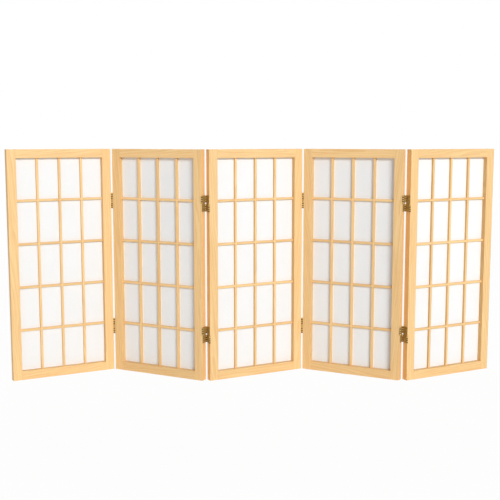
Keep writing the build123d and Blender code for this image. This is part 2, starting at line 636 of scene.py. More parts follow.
@dataclass(frozen=True)
class ShaderEffects:
    """Shader groups that the finishes share."""

    mottle: Tree
    streaks: Tree

    def patches(self, tree: Tree, vector: Socket, scale: float, detail: float, levels: Limits) -> Socket:
        """Places soft patches between two levels in a material."""
        values = {"Vector": vector, "Scale": scale, "Detail": detail, "Low": levels[0], "High": levels[1]}
        return output(tree, "ShaderNodeGroup", values, node_tree=self.mottle)

    def lines(self, tree: Tree, vector: Socket, along: float, across: float, contrast: float) -> Socket:
        """Places streaks of a given scale along and across in a material."""
        values = {"Vector": vector, "Along": along, "Across": across, "Contrast": contrast}
        return output(tree, "ShaderNodeGroup", values, node_tree=self.streaks)


def new_material(name: str) -> tuple[Material, Tree]:
    """Makes a material with an empty tree.

    Args:
        name: Name of the material.

    Returns:
        The material and its tree.
    """
    material = bpy.data.materials.new(name)
    material.use_nodes = True
    material.node_tree.nodes.clear()
    return material, material.node_tree


def end_material(tree: Tree, inputs: dict[str, Any]) -> None:
    """Ends a material with its shader."""
    shader = output(tree, "ShaderNodeBsdfPrincipled", inputs)
    add_node(tree, "ShaderNodeOutputMaterial", {0: shader})


@dataclass(frozen=True)
class SpruceFinish:
    """Clear-lacquered pale spruce with soft, slightly slanting growth rings."""

    early_wood: Colour = (0.98, 0.68, 0.329, 1.0)
    late_wood: Colour = (0.875, 0.535, 0.23, 1.0)
    edge_tint: Colour = (1.0, 0.95, 0.85, 1.0)
    ring_scale: float = 62.0
    ring_limits: Limits = (0.1, 0.85)
    ring_bend: Limits = (-0.004, 0.004)
    bend_scale: Triple = (5.0, 30.0, 30.0)
    bend_detail: float = 2.0
    streak_lines: Triple = (9.0, 270.0, 1.9)
    broad_lines: Triple = (4.0, 55.0, 2.0)
    ring_share: float = 0.5
    streak_share: float = 0.95
    broad_share: float = 0.5
    early_share: float = 0.56
    slant: float = 0.26
    slant_draw: float = 7.31
    pith_depth: float = 0.02
    pith_drift: float = 0.05
    pith_draw: float = 3.77
    tone_low: float = 0.94
    tone_high: float = 1.045
    board_shift: Triple = (9.7, 0.83, 1.31)
    roughness_low: float = 0.38
    roughness_high: float = 0.52
    specular: float = 0.3
    bump_strength: float = 0.35
    bump_distance: float = 0.00012

    def draw(self, tree: Tree, board: Socket, factor: float, width: float) -> Socket:
        """Draws a number about zero, of a given spread, from a board's own number."""
        part = maths(tree, "FRACT", maths(tree, "MULTIPLY", board, factor))
        return maths(tree, "MULTIPLY_ADD", part, width, -width / 2)

    def slanted(self, tree: Tree, board: Socket) -> Socket:
        """Gives each point's place in its board, with the board's own slant of the grain.

        Args:
            tree: The material's tree.
            board: The board's number, between 0 and 1.

        Returns:
            Place along, across and through the board.
        """
        grain = output(tree, "ShaderNodeAttribute", which="Vector", attribute_name=GRAIN)
        along, across, through = add_node(tree, "ShaderNodeSeparateXYZ", {0: grain}).outputs
        slant = self.draw(tree, board, self.slant_draw, self.slant)
        across = maths(tree, "MULTIPLY_ADD", along, slant, across)
        return output(tree, "ShaderNodeCombineXYZ", {"X": along, "Y": across, "Z": through})

    def rings(self, tree: Tree, grain: Socket, board: Socket, bend: Socket) -> Socket:
        """Lays growth rings about a pith that runs behind the board.

        Args:
            tree: The material's tree.
            grain: Place in the board: along, across and through it.
            board: The board's number, between 0 and 1.
            bend: Unevenness of the rings, in metres.

        Returns:
            Share of late wood, from 0 to 1.
        """
        parts = add_node(tree, "ShaderNodeSeparateXYZ", {0: grain}).outputs
        across = maths(tree, "ADD", parts[1], self.draw(tree, board, self.pith_draw, self.pith_drift))
        through = maths(tree, "ADD", parts[2], self.pith_depth)
        squares = maths(tree, "MULTIPLY_ADD", across, across, maths(tree, "MULTIPLY", through, through))
        radius = maths(tree, "ADD", maths(tree, "SQRT", squares), bend)
        vector = output(tree, "ShaderNodeCombineXYZ", {"X": radius})
        wave = output(
            tree, "ShaderNodeTexWave", {"Vector": vector, "Scale": self.ring_scale, "Distortion": 0.0}, "Fac",
            wave_type="BANDS", bands_direction="X", wave_profile="SAW",
        )
        low, high = self.ring_limits
        return output(
            tree, "ShaderNodeMapRange", {"Value": wave, "From Min": low, "From Max": high},
            interpolation_type="SMOOTHSTEP",
        )

    def material(self, effects: ShaderEffects) -> Material:
        """Builds the spruce material, whose grain follows each piece's own board.

        Args:
            effects: The shared shader groups.

        Returns:
            The material.
        """
        material, tree = new_material("lacquered_spruce")
        boards = add_node(tree, "ShaderNodeAttribute", attribute_name=BOARD).outputs
        board = boards["Fac"]
        grain = self.slanted(tree, board)
        cut = output(tree, "ShaderNodeAttribute", which="Fac", attribute_name=CUT)
        shift = {0: boards["Vector"], 1: self.board_shift, 2: grain}
        lie = output(tree, "ShaderNodeVectorMath", shift, operation="MULTIPLY_ADD")
        drift = output(tree, "ShaderNodeVectorMath", {0: lie, 1: self.bend_scale}, operation="MULTIPLY")
        bend = effects.patches(tree, drift, 1.0, self.bend_detail, self.ring_bend)
        late = self.rings(tree, grain, board, bend)
        streak = effects.lines(tree, lie, *self.streak_lines)
        broad = effects.lines(tree, lie, *self.broad_lines)
        ring_part = maths(tree, "MULTIPLY", late, self.ring_share)
        mixed = maths(tree, "MULTIPLY_ADD", streak, self.streak_share, ring_part)
        share = maths(tree, "MULTIPLY_ADD", broad, self.broad_share, mixed)
        depth = maths(tree, "SUBTRACT", share, self.early_share)
        wood = mixed_colour(tree, depth, self.early_wood, self.late_wood)
        toned = mixed_colour(tree, cut, wood, self.edge_tint, "MULTIPLY")
        level = mapped(tree, board, self.tone_low, self.tone_high)
        end_material(tree, {
            "Base Color": output(tree, "ShaderNodeVectorMath", {0: toned, "Scale": level}, operation="SCALE"),
            "Roughness": mapped(tree, streak, self.roughness_low, self.roughness_high),
            "Normal": bumped(tree, mixed, self.bump_strength, self.bump_distance),
            "Specular IOR Level": self.specular,
        })
        return material


@dataclass(frozen=True)
class PaperFinish:
    """Matt white shoji paper with long, faint fibres, which shows a grey to bounced light as painted shade.
    """

    sheet: Colour = (0.94, 0.952, 0.957, 1.0)
    fibre: Colour = (0.91, 0.918, 0.918, 1.0)
    # Painted shade: the grey that the paper shows to bounced light, which darkens the frame's inner edges and
    # the bars' sides.
    dimmed_bounce: Colour = (0.6, 0.6, 0.6, 1.0)
    cloud_scale: float = 14.0
    cloud_detail: float = 3.0
    cloud_levels: Limits = (0.0, 0.45)
    fibre_scale: float = 95.0
    fibre_detail: float = 2.0
    fibre_curl: float = 1.6
    fibre_width: float = 0.03
    fibre_strength: float = 0.6
    roughness: float = 0.85
    specular: float = 0.2
    bump_strength: float = 0.25
    bump_distance: float = 0.00008

    def material(self, effects: ShaderEffects) -> Material:
        """Builds the paper material.

        Args:
            effects: The shared shader groups.

        Returns:
            The material.
        """
        material, tree = new_material("fibre_paper")
        place = output(tree, "ShaderNodeTexCoord", which="Object")
        cloud = effects.patches(tree, place, self.cloud_scale, self.cloud_detail, self.cloud_levels)
        curl = output(
            tree, "ShaderNodeTexNoise",
            {
                "Vector": place, "Scale": self.fibre_scale,
                "Detail": self.fibre_detail, "Distortion": self.fibre_curl,
            },
        )
        off_line = maths(tree, "ABSOLUTE", maths(tree, "SUBTRACT", curl, 0.5))
        fibre = output(
            tree, "ShaderNodeMapRange",
            {
                "Value": off_line, "From Min": self.fibre_width, "From Max": 0.0,
                "To Min": 0.0, "To Max": self.fibre_strength,
            },
        )
        share = maths(tree, "ADD", cloud, fibre)
        seen = mixed_colour(tree, share, self.sheet, self.fibre)
        # Painted shade: bounced light sees the paper grey, so it throws less light onto the frame and bars
        # beside it.
        bounced = output(tree, "ShaderNodeLightPath", which="Is Diffuse Ray")
        end_material(tree, {
            "Base Color": mixed_colour(tree, bounced, seen, self.dimmed_bounce),
            "Roughness": self.roughness,
            "Normal": bumped(tree, share, self.bump_strength, self.bump_distance),
            "Specular IOR Level": self.specular,
        })
        return material


@dataclass(frozen=True)
class BrassFinish:
    """Antique brass, browned in patches and brighter where it is rubbed, with shade painted on its fittings.
    """

    rubbed: Colour = (0.97, 0.665, 0.24, 1.0)
    browned: Colour = (0.43, 0.268, 0.09, 1.0)
    # Painted shade: the colour that each fitting's shade mark multiplies in.
    shaded: Colour = (0.16, 0.135, 0.1, 1.0)
    sheen: Colour = (0.75, 0.55, 0.3, 1.0)
    patch_scale: float = 210.0
    patch_detail: float = 4.0
    patch_levels: Limits = (0.05, 0.9)
    brush_lines: Triple = (900.0, 900.0, 1.2)
    brush_share: float = 0.25
    metallic: float = 0.45
    roughness_low: float = 0.38
    roughness_high: float = 0.55
    specular: float = 0.15
    bump_strength: float = 0.3
    bump_distance: float = 0.00005

    def material(self, effects: ShaderEffects) -> Material:
        """Builds the brass material.

        Args:
            effects: The shared shader groups.

        Returns:
            The material.
        """
        material, tree = new_material("antique_brass")
        place = output(tree, "ShaderNodeTexCoord", which="Object")
        patch = effects.patches(tree, place, self.patch_scale, self.patch_detail, self.patch_levels)
        line = effects.lines(tree, place, *self.brush_lines)
        worn = maths(tree, "MULTIPLY_ADD", line, self.brush_share, patch)
        plain = mixed_colour(tree, worn, self.browned, self.rubbed)
        # Painted shade: each fitting's shade mark darkens the brass towards the shaded colour.
        shade = output(tree, "ShaderNodeAttribute", which="Fac", attribute_name=SHADE)
        end_material(tree, {
            "Base Color": mixed_colour(tree, shade, plain, self.shaded, "MULTIPLY"),
            "Metallic": self.metallic,
            "Roughness": mapped(tree, worn, self.roughness_high, self.roughness_low),
            "Normal": bumped(tree, line, self.bump_strength, self.bump_distance),
            "Specular IOR Level": self.specular,
            "Specular Tint": self.sheen,
        })
        return material


def make_finishes() -> dict[Slot, Material]:
    """Builds the shared shader groups and the finish of each slot.

    Returns:
        The materials of the screen.
    """
    effects = ShaderEffects(MottleGroup().build(), StreakGroup().build())
    makers = {Slot.SPRUCE: SpruceFinish(), Slot.PAPER: PaperFinish(), Slot.BRASS: BrassFinish()}
    return {slot: maker.material(effects) for slot, maker in makers.items()}


@dataclass(frozen=True)
class Dresser:
    """Sets finished pieces on their bodies, each in the finish of its slot."""

    finishes: dict[Slot, Material]

    def set_piece(self, name: str, mesh: Mesh, body: str, slot: Slot, node: str | None = None) -> None:
        """Puts a finished piece on its body.

        Args:
            name: Name of the piece.
            mesh: Its mesh, in the screen's frame.
            body: Body that it rides on.
            slot: Material slot of the record that it takes its finish from.
            node: Solid that it stands for, or None.
        """
        mesh.materials.clear()
        mesh.materials.append(self.finishes[slot])
        for face in mesh.polygons:
            face.material_index = 0
        mesh.name = name
        piece = held_object(name, mesh)
        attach(piece, body)
        if node:
            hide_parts(node)
        LOG.info("%s: %d faces on %s", name, len(mesh.polygons), body)

    def stand_in(self, node: str, mesh: Mesh, body: str, slot: Slot) -> None:
        """Puts a piece that stands for a solid on its body."""
        self.set_piece(f"{PIECE_WORDS[slot]}_{node}", mesh, body, slot, node)


@dataclass
class Panel:
    """One panel: its frame, its lattice and its sheet of paper."""

    height: float = 610 * MM
    width: float = 279 * MM
    thickness: float = 18 * MM
    stile_width: float = 24 * MM
    top_rail: float = 25 * MM
    bottom_rail: float = 23.5 * MM
    tenon_length: float = 15 * MM
    tenon_thickness: float = 6 * MM
    tenon_shoulder: float = 4.5 * MM
    joint_clearance: float = 0.1 * MM
    columns: int = 4
    rows: int = 5
    bar_width: float = 6 * MM
    bar_depth: float = 6.5 * MM
    lattice_recess: float = 7 * MM
    bar_tenon: float = 4 * MM
    end_pane_trim: float = 2.9 * MM
    lap_share: float = 0.5
    paper_thickness: float = 0.4 * MM
    groove_depth: float = 5 * MM
    paper_clearance: float = 1 * MM
    frame_ease: float = 0.45 * MM
    head_lift: float = 2.1 * MM
    bar_ease: float = 0.4 * MM
    upright_seed: int = 10
    level_seed: int = 30

    def __post_init__(self) -> None:
        """Works out the lines that the pieces share."""
        self.half_width = self.width / 2
        self.depths = around(0, self.thickness)
        self.opening = self.half_width - self.stile_width
        self.sill = self.bottom_rail
        self.head = self.height - self.top_rail
        bar_front = self.lattice_recess - self.thickness / 2
        self.bar_depths = (bar_front, bar_front + self.bar_depth)
        self.lap_face = self.bar_depths[0] + self.bar_depth * self.lap_share
        self.paper_depths = (self.bar_depths[1], self.bar_depths[1] + self.paper_thickness)
        self.groove_depths = grown(self.paper_depths, self.joint_clearance)
        self.groove_reach = self.opening + self.groove_depth
        self.groove_heights = (self.sill - self.groove_depth, self.head + self.groove_depth)
        self.column_pitch = (2 * self.opening + self.bar_width) / self.columns
        self.row_pitch = (self.head - self.sill + 2 * self.end_pane_trim + self.bar_width) / self.rows
        self.bar_columns = spread(0, self.column_pitch, self.columns - 1)
        self.bar_rows = spread((self.sill + self.head) / 2, self.row_pitch, self.rows - 1)
        self.tenon_depths = around(0, self.tenon_thickness)
        self.tenons = {
            Half.UPPER: (self.head + self.tenon_shoulder, self.height - self.tenon_shoulder),
            Half.LOWER: (self.tenon_shoulder, self.sill - self.tenon_shoulder),
        }
        self.lattice_row = RowTree()
        self.meshes: dict[str, Mesh] = {}

    def cut_frame(self) -> None:
        """Makes the frame's pieces once, in the panel's own frame."""
        for side in Side:
            self.meshes[f"{side.name.lower()}_stile"] = self.make_stile(side)
        self.meshes["top_rail"] = self.make_rail(Half.UPPER)
        self.meshes["bottom_rail"] = self.make_rail(Half.LOWER)

    def make_stile(self, side: Side) -> Mesh:
        """Makes an upright of the frame, with its mortises, sockets and groove.

        Args:
            side: Side of the panel that it is on.

        Returns:
            The stile.
        """
        clear, sign = self.joint_clearance, side.value
        reach = ordered(sign * self.opening, sign * self.half_width)
        stile = eased_box((reach, self.depths, (0, self.height)), self.frame_ease)
        inner = sign * (self.opening - self.frame_ease)
        mortise = ordered(inner, sign * (self.opening + self.tenon_length + clear))
        socket = ordered(inner, sign * (self.opening + self.bar_tenon + clear))
        groove = ordered(inner, sign * self.groove_reach)
        tenon_depths, bar_depths = grown(self.tenon_depths, clear), grown(self.bar_depths, clear)
        cuts: list[Box] = [(mortise, tenon_depths, grown(heights, clear)) for heights in self.tenons.values()]
        cuts += [(socket, bar_depths, grown(around(level, self.bar_width), clear)) for level in self.bar_rows]
        cuts.append((groove, self.groove_depths, self.groove_heights))
        for cut in cuts:
            stile = combine(stile, cut, Work.CUT)
        return stile

    def make_rail(self, half: Half) -> Mesh:
        """Makes a cross piece of the frame, with its tenons, sockets and groove.

        Args:
            half: Upper for the top rail and lower for the bottom one.

        Returns:
            The rail.
        """
        clear, inward = self.joint_clearance, -half.value
        edge = self.head if half is Half.UPPER else self.sill
        heights = (edge + self.head_lift, self.height) if half is Half.UPPER else (0, edge)
        rail = eased_box((around(0, 2 * self.opening), self.depths, heights), self.frame_ease)
        tenon_reach = around(0, 2 * (self.opening + self.tenon_length))
        rail = combine(rail, (tenon_reach, self.tenon_depths, self.tenons[half]), Work.JOIN)
        outer = edge + inward * self.frame_ease
        socket = ordered(outer, edge - inward * (self.bar_tenon + clear))
        groove = ordered(outer, edge - inward * self.groove_depth)
        for column in self.bar_columns:
            reach = grown(around(column, self.bar_width), clear)
            rail = combine(rail, (reach, grown(self.bar_depths, clear), socket), Work.CUT)
        return combine(rail, (around(0, 2 * self.groove_reach), self.groove_depths, groove), Work.CUT)

    def make_bar(self, way: Way) -> Mesh:
        """Makes a lattice bar, notched where the other bars cross it.

        Args:
            way: Way that it runs. An upright bar is notched from behind, and a level one from the front.

        Returns:
            The bar, about X = 0 where it is upright and about Z = 0 where it is level.
        """
        section, room = around(0, self.bar_width), around(0, 2 * self.bar_width)
        clear, (front, back) = self.joint_clearance, self.bar_depths
        if way is Way.UPRIGHT:
            size = (section, self.bar_depths, grown((self.sill, self.head), self.bar_tenon))
            lap, crossings = (self.lap_face - clear, back + self.bar_ease), self.bar_rows
        else:
            size = (grown((-self.opening, self.opening), self.bar_tenon), self.bar_depths, section)
            lap, crossings = (front - self.bar_ease, self.lap_face + clear), self.bar_columns
        bar = eased_box(size, self.bar_ease)
        for crossing in crossings:
            notch = grown(around(crossing, self.bar_width), clear)
            cut = (room, lap, notch) if way is Way.UPRIGHT else (notch, lap, room)
            bar = combine(bar, cut, Work.CUT)
        mark_grain(bar, way, None)
        return bar

    def cut_bars(self) -> None:
        """Makes one bar of each kind."""
        for way in Way:
            self.meshes[f"{way.value}_bar"] = self.make_bar(way)

    def dress_frame(self, number: int, place: Matrix, dresser: Dresser, boards: random.Random) -> None:
        """Sets one panel's stiles and rails.

        Args:
            number: The panel, counted from the left.
            place: Its place in the screen.
            dresser: Sets the pieces.
            boards: Draws the board that each piece is cut from.
        """
        ways = {
            "left_stile": Way.UPRIGHT, "right_stile": Way.UPRIGHT,
            "top_rail": Way.LEVEL, "bottom_rail": Way.LEVEL,
        }
        for piece, way in ways.items():
            mesh = self.meshes[piece].copy()
            mark_grain(mesh, way, boards.random())
            mesh.transform(place)
            dresser.stand_in(f"panel_{number}_{piece}", mesh, f"panel_{number}", Slot.SPRUCE)

    def dress_lattice(self, number: int, place: Matrix, dresser: Dresser) -> None:
        """Sets one panel's upright and level bars.

        Args:
            number: The panel, counted from the left.
            place: Its place in the screen.
            dresser: Sets the pieces.
        """
        across, up = Vector((self.column_pitch, 0, 0)), Vector((0, 0, self.row_pitch))
        first_column, first_row = Vector((self.bar_columns[0], 0, 0)), Vector((0, 0, self.bar_rows[0]))
        uprights = ("upright_bar", self.columns - 1, first_column, across, self.upright_seed + number)
        levels = ("level_bar", self.rows - 1, first_row, up, self.level_seed + number)
        for piece, (bar, *row) in {"vertical_bars": uprights, "horizontal_bars": levels}.items():
            mesh = self.lattice_row.build(self.meshes[bar].copy(), *row, dresser.finishes[Slot.SPRUCE])
            mesh.transform(place)
            dresser.stand_in(f"panel_{number}_{piece}", mesh, f"panel_{number}", Slot.SPRUCE)

    def dress_paper(self, number: int, place: Matrix, dresser: Dresser) -> None:
        """Sets one panel's sheet of paper.

        Args:
            number: The panel, counted from the left.
            place: Its place in the screen.
            dresser: Sets the pieces.
        """
        reach = 2 * (self.groove_reach - self.paper_clearance)
        heights = grown(self.groove_heights, -self.paper_clearance)
        mesh = eased_box((around(0, reach), self.paper_depths, heights))
        mesh.transform(place)
        dresser.stand_in(f"panel_{number}_paper", mesh, f"panel_{number}", Slot.PAPER)


@dataclass
class ScreenLine:
    """How the panels stand: a zigzag walked from hinge axis to hinge axis, its middle panel at the origin."""

    panel: Panel
    fold_turn: float = 54.5
    panel_gap: float = 3.2 * MM
    axis_stand_off: float = 1.2 * MM
    valleys: tuple[bool, ...] = (True, False, True, False)

    def __post_init__(self) -> None:
        """Works out the places of the panels."""
        self.half_gap = self.panel_gap / 2
        self.axis_reach = self.panel.half_width + self.half_gap
        self.axis_offset = self.panel.thickness / 2 + self.axis_stand_off
        self.middle = len(self.valleys) // 2
        places = [Matrix.Identity(4)]
        for valley in self.valleys:
            axis_y = -self.axis_offset if valley else self.axis_offset
            turn = math.radians(-self.fold_turn if valley else self.fold_turn)
            step = Matrix.Translation((self.axis_reach, axis_y, 0)) @ Matrix.Rotation(turn, 4, "Z")
            places.append(places[-1] @ step @ Matrix.Translation((self.axis_reach, -axis_y, 0)))
        to_middle = Matrix.Rotation(math.radians(self.fold_turn / 2), 4, "Z") @ places[self.middle].inverted()
        self.places = [to_middle @ place for place in places]


@dataclass
class TwoWayHinges:
    """Two-way hinges: leaves on the panels' edges, crossed links between them, knuckles, pins and screws."""

    line: ScreenLine
    height: float = 42.5 * MM
    upper_drop: float = 140 * MM
    lower_rise: float = 123 * MM
    waist: float = 3 * MM
    leaf_thickness: float = 0.8 * MM
    leaf_margin: float = 0.6 * MM
    link_thickness: float = 0.8 * MM
    barrel_radius: float = 1.95 * MM
    bore_radius: float = 0.95 * MM
    pin_radius: float = 0.85 * MM
    knuckle_clearance: float = 0.3 * MM
    cell: float = 2.8 * MM
    open_barrel_room: float = 3.8 * MM
    collar: float = 1.4 * MM
    link_room: float = 0.25 * MM
    sight_room: float = 0.5 * MM
    plate_ease: float = 0.2 * MM
    tube_ease: float = 0.2 * MM
    tongue_ease: float = 0.1 * MM
    knuckles: int = 6
    barrel_sides: int = 24
    screw_radius: float = 2.1 * MM
    screw_rise: float = 0.25 * MM
    screw_sink: float = 0.4 * MM
    screw_taper: float = 0.8
    screw_sides: int = 16
    screw_rings: int = 4
    screw_slot: Limits = (0.05 * MM, 1 * MM)
    slot_width: float = 0.55 * MM
    screw_seed: int = 5
    screw_levels: Triple = (-14 * MM, 0.0, 14 * MM)
    # Painted shade and highlight: link knuckles and pins take the full shaded colour, as if in shade between
    # the knuckles; plates, screws and collars take part of it; leaf knuckles take none and stay bright as
    # painted highlights.
    leaf_shade: float = 0.0
    plate_shade: float = 0.36
    link_shade: float = 1.0
    collar_shade: float = 0.15

    def __post_init__(self) -> None:
        """Works out the lines that the fittings share."""
        panel = self.line.panel
        self.half_leaf = panel.thickness / 2 - self.leaf_margin
        self.zone = (self.height - self.waist) / 2
        self.knuckle = self.cell - self.knuckle_clearance
        self.link_reach = self.line.axis_offset - self.barrel_radius - self.link_room
        self.levels = (self.lower_rise, panel.height - self.upper_drop)
        low, wall = -self.line.half_gap, (self.barrel_radius + self.bore_radius) / 2
        leaf_end = self.line.axis_offset - self.half_leaf + self.plate_ease
        link_end = self.line.axis_offset - self.link_reach + self.plate_ease
        self.leaf_tongue = ((low, low + self.leaf_thickness), (0, leaf_end))
        self.link_tongue = (around(0, self.link_thickness), (wall, link_end))
        self.rows = FittingTree()
        outer = FittingRow(self.knuckles // 2, self.cell / 2, 2 * self.cell)
        inner = FittingRow(self.knuckles // 2, 1.5 * self.cell, 2 * self.cell)
        self.leaf_rows = {Half.UPPER: outer, Half.LOWER: inner}
        self.link_rows = {Half.UPPER: inner, Half.LOWER: outer}
        self.pin_row = FittingRow(first=self.zone / 2)
        self.screw_row = FittingRow(spin=math.pi, seed=self.screw_seed)

    def make_tube(self, outer: float, inner: float, length: float) -> Mesh:
        """Makes a tube or rod about the Z axis with eased ends.

        Args:
            outer: Radius outside.
            inner: Radius of the bore, or zero for a rod.
            length: Length along Z, about the origin.

        Returns:
            The closed mesh.
        """
        half, ease = length / 2, self.tube_ease
        profile = [
            (outer, -half + ease), (outer, half - ease), (outer - ease, half),
            (inner, half), (inner, -half), (outer - ease, -half),
        ]
        shape = bmesh.new()
        rings = []
        for step in range(self.barrel_sides):
            angle = 2 * math.pi * step / self.barrel_sides
            rings.append([shape.verts.new((r * math.cos(angle), r * math.sin(angle), z)) for r, z in profile])
        for step, ring in enumerate(rings):
            following = rings[(step + 1) % len(rings)]
            for place in range(len(profile)):
                after = (place + 1) % len(profile)
                shape.faces.new((ring[place], following[place], following[after], ring[after]))
        bmesh.ops.remove_doubles(shape, verts=list(shape.verts), dist=MERGE_DISTANCE)
        bmesh.ops.recalc_face_normals(shape, faces=list(shape.faces))
        return finished(shape, "tube")

    def make_barrel(self, length: float) -> Mesh:
        """Makes a bored length of barrel on the Z axis."""
        return self.make_tube(self.barrel_radius, self.bore_radius, length)

    def make_knuckle(self, shade: float, tongue: tuple[Limits, Limits] | None = None) -> Mesh:
        """Makes a knuckle on the Z axis.

        Args:
            shade: How much painted shade it gets.
            tongue: Limits along X and Y of the tongue that curls into it from +Y, or None.

        Returns:
            The knuckle.
        """
        parts = [self.make_barrel(self.knuckle)]
        if tongue:
            parts.append(eased_box((*tongue, around(0, self.knuckle)), self.tongue_ease, 1))
        return shaded(joined(parts), shade)

    def make_pin(self) -> Mesh:
        """Makes a hinge pin on the Z axis, as long as a half's barrels."""
        return shaded(self.make_tube(self.pin_radius, 0.0, self.zone), self.link_shade)

    def make_screw(self) -> Mesh:
        """Makes a raised countersunk screw head that faces +X, with a slot across it.

        Returns:
            The screw.
        """
        shape = bmesh.new()
        sides, radius = self.screw_sides, self.screw_radius
        angles = [2 * math.pi * step / sides for step in range(sides)]
        loops = []
        for ring in range(self.screw_rings):
            turn = math.pi / 2 * ring / self.screw_rings
            rise, reach = self.screw_rise * math.sin(turn), radius * math.cos(turn)
            loops.append([shape.verts.new((rise, reach * math.cos(a), reach * math.sin(a))) for a in angles])
        taper = self.screw_taper
        base = [shape.verts.new((-self.screw_sink, v.co.y * taper, v.co.z * taper)) for v in loops[0]]
        loops.insert(0, base)
        for lower, upper in zip(loops, loops[1:]):
            for step in range(sides):
                after = (step + 1) % sides
                shape.faces.new((lower[step], lower[after], upper[after], upper[step]))
        shape.faces.new(loops[-1])
        shape.faces.new(list(reversed(base)))
        bmesh.ops.recalc_face_normals(shape, faces=list(shape.faces))
        slot = (self.screw_slot, around(0, self.slot_width), around(0, 3 * radius))
        return shaded(combine(finished(shape, "screw"), slot, Work.CUT), self.plate_shade)

    def make_leaf_plate(self) -> Mesh:
        """Makes the plate of a leaf for a panel's right edge, from the edge outwards."""
        limits = ((0, self.leaf_thickness), around(0, 2 * self.half_leaf), around(0, self.height))
        return shaded(eased_box(limits, self.plate_ease), self.plate_shade)

    def make_link_plate(self, half: Half, open_face: Face | None) -> Mesh:
        """Makes the plate of a link, in the middle of the gap between two panels.

        Args:
            half: Half of the hinge that the link is in.
            open_face: Face whose axis the link stops short of, or None.

        Returns:
            The plate.
        """
        short = self.line.axis_offset - self.barrel_radius - self.open_barrel_room
        front, back = (short if face is open_face else self.link_reach for face in Face)
        heights = ordered(half.value * self.waist / 2, half.value * self.height / 2)
        plate = eased_box((around(0, self.link_thickness), (-front, back), heights), self.plate_ease)
        return shaded(plate, self.plate_shade)

    def make_collars(self, marks: list[Mark], face: Face, finish: Material) -> Mesh:
        """Makes the collars that end barrels towards the hinge's waist.

        Args:
            marks: The barrels.
            face: Where they are: front collars reach into the waist, and back ones stop short of it.
            finish: Material of the collars.

        Returns:
            One plain mesh of the collars.
        """
        start = self.knuckles * self.cell + self.knuckle_clearance / 2
        end = self.zone + (self.collar if face is Face.FRONT else -self.sight_room)
        collar = shaded(self.make_barrel(end - start), self.collar_shade)
        return self.rows.build(marks, collar, FittingRow(first=(start + end) / 2), finish)

    def edge_places(self, number: int) -> list[Matrix]:
        """Finds the places of a panel's leaves: its edges that meet a neighbour, at each hinge level.

        Args:
            number: The panel, counted from the left.

        Returns:
            The places.
        """
        places, half_width = self.line.places, self.line.panel.half_width
        found = []
        for level in self.levels:
            if number < len(places):
                found.append(places[number - 1] @ Matrix.Translation((half_width, 0, level)))
            if number > 1:
                left = Matrix.Translation((-half_width, 0, level)) @ Matrix.Rotation(math.pi, 4, "Z")
                found.append(places[number - 1] @ left)
        return found

    def stays_left(self, fold: int, half: Half) -> bool:
        """Whether a link stays with the panel at the left of its fold as the fold turns."""
        return self.line.valleys[fold] != (half is Half.UPPER)

    def link_place(self, fold: int, half: Half, level: float) -> Matrix:
        """Finds the place of a link, along the edge of the panel that it stays with.

        Args:
            fold: The fold, counted from the left, from zero.
            half: Half of the hinge that the link is in.
            level: Height of the hinge.

        Returns:
            The place.
        """
        line = self.line
        if self.stays_left(fold, half):
            return line.places[fold] @ Matrix.Translation((line.axis_reach, 0, level))
        return line.places[fold + 1] @ Matrix.Translation((-line.axis_reach, 0, level))

    def barrel_mark(self, place: Matrix, half: Half, across: float, face: Face) -> Mark:
        """Marks the outer end of a barrel.

        Args:
            place: Place of the hinge's leaf or link.
            half: Half of the hinge.
            across: Distance of the axis out from the place, along its X.
            face: Face that the axis is on.

        Returns:
            The mark, whose row runs towards the hinge's waist and whose tongues point to its middle.
        """
        start = place @ Vector((across, face.value * self.line.axis_offset, half.value * self.height / 2))
        flip = 0.0 if face is Face.FRONT else math.pi
        return Mark(start, Vector((flip, 0.0, place.to_euler("XYZ").z)), -half.value)

    def dress_leaves(self, number: int, dresser: Dresser) -> None:
        """Sets one panel's hinge leaves and their screws.

        Args:
            number: The panel, counted from the left.
            dresser: Sets the pieces.
        """
        body, brass = f"panel_{number}", dresser.finishes[Slot.BRASS]
        places = self.edge_places(number)
        pieces = [placed(self.make_leaf_plate(), place) for place in places]
        for half, row in self.leaf_rows.items():
            face = Face(-half.value)
            marks = [self.barrel_mark(place, half, self.line.half_gap, face) for place in places]
            knuckle = self.make_knuckle(self.leaf_shade, self.leaf_tongue)
            pieces.append(self.rows.build(marks, knuckle, row, brass))
        dresser.stand_in(f"{body}_hinge_leaves", joined(pieces), body, Slot.BRASS)
        marks = []
        for place in places:
            turn = Vector((0, 0, place.to_euler("XYZ").z))
            spots = [place @ Vector((self.leaf_thickness, 0, level)) for level in self.screw_levels]
            marks += [Mark(spot, turn) for spot in spots]
        screws = self.rows.build(marks, self.make_screw(), self.screw_row, brass)
        dresser.set_piece(f"{body}_hinge_screws", screws, body, Slot.BRASS)

